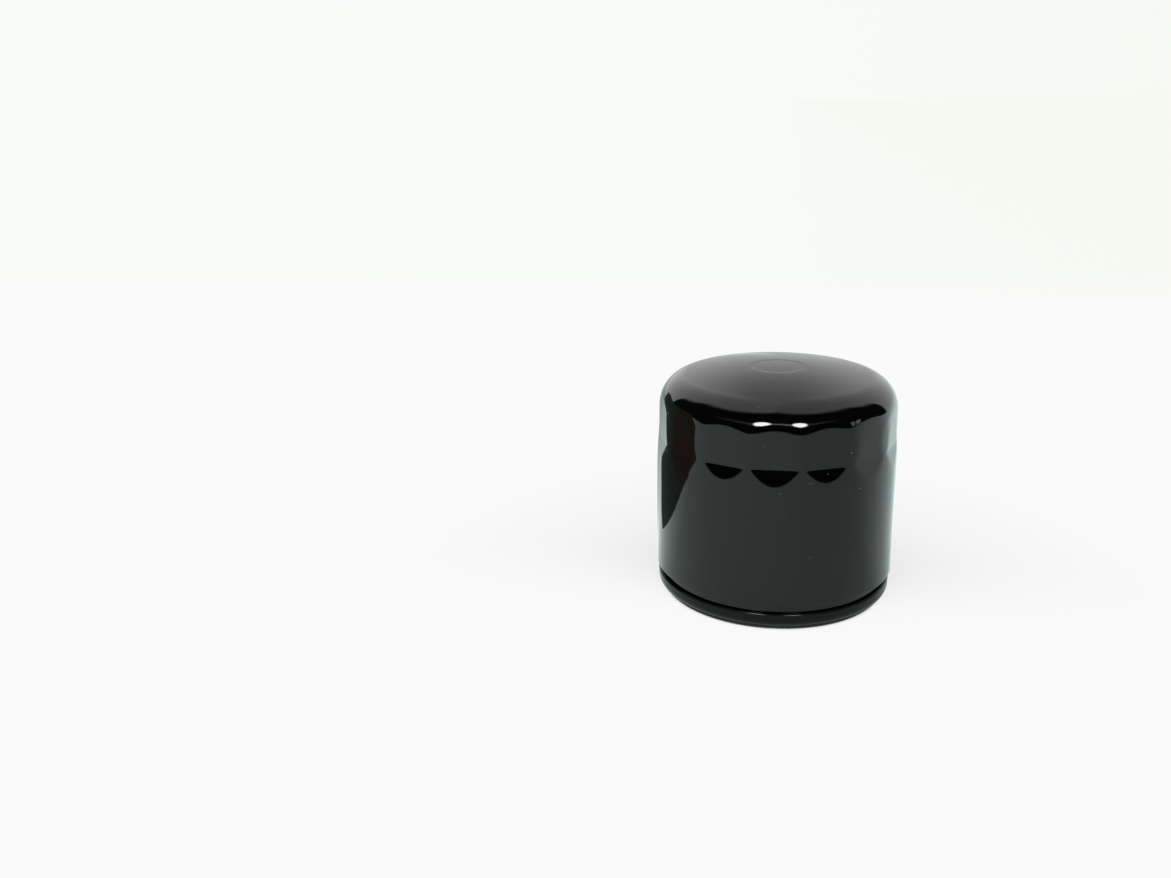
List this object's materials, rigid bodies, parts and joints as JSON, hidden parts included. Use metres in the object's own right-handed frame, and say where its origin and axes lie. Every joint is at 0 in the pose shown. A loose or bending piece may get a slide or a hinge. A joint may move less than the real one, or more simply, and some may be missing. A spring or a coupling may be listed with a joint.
{
  "type": "spin-on oil filter",
  "caption": "Short black spin-on engine oil filter with wrench flats round its crown, a rolled seam, a threaded base plate, inner paper element, bypass valve and anti-drain-back valve.",
  "frame": {"origin": "centre of the sealing gasket's lower face, which the filter stands on", "axes": "+Z along the filter's axis from the gasket to the crown; -Y faces a wrench flat"},
  "size_m": [0.076, 0.076, 0.0738],
  "materials": {
    "black_paint": "smooth gloss black baked paint",
    "retainer_paint": "satin black coated sheet steel",
    "plate_steel": "pressed steel plate, dry and faintly oiled",
    "gasket_rubber": "moulded nitrile rubber, matt",
    "sealant": "cured sealing compound",
    "valve_rubber": "moulded silicone-like black rubber",
    "tin_plate": "tin-plated sheet steel",
    "plastisol": "cured potting adhesive, dark grey",
    "filter_paper": "resin-cured pleated filter paper, yellow-brown",
    "clip_steel": "bright folded strip",
    "tube_steel": "perforated tin-plated sheet",
    "cage_steel": "zinc-plated pressed steel",
    "spring_wire": "drawn spring wire, lightly oiled",
    "phenolic": "moulded phenolic, dark brown",
    "seal_rubber": "moulded nitrile disc",
    "seat_steel": "pressed sheet steel"
  },
  "bodies": {
    "housing": {"canister": "black_paint", "base_plate": "plate_steel", "gasket_retainer": "retainer_paint", "sealing_gasket": "gasket_rubber", "seam_sealant": "sealant", "drain_valve_collar": "valve_rubber", "lower_end_cap": "tin_plate", "lower_potting": "plastisol", "pleated_paper": "filter_paper", "paper_seam_clip": "clip_steel", "centre_tube": "tube_steel", "upper_potting": "plastisol", "upper_end_cap": "tin_plate", "bypass_cage": "cage_steel", "bypass_spring": "spring_wire", "spring_seat": "seat_steel", "element_spring": "spring_wire"},
    "drain_valve": {"drain_valve_skirt": "valve_rubber"},
    "bypass_valve": {"bypass_plunger": "phenolic", "bypass_plunger_seal": "seal_rubber"}
  },
  "joints": [
    {"name": "drain_valve_lift", "type": "slide", "parent": "housing", "child": "drain_valve", "axis": [0, 0, 1], "range_m": [0, 0.0012], "stiffness_N_per_m": 400, "springref_m": -0.001},
    {"name": "bypass_open", "type": "slide", "parent": "housing", "child": "bypass_valve", "axis": [0, 0, -1], "range_m": [0, 0.003], "stiffness_N_per_m": 3000, "springref_m": -0.005, "deforming": ["bypass_spring"]}
  ]
}
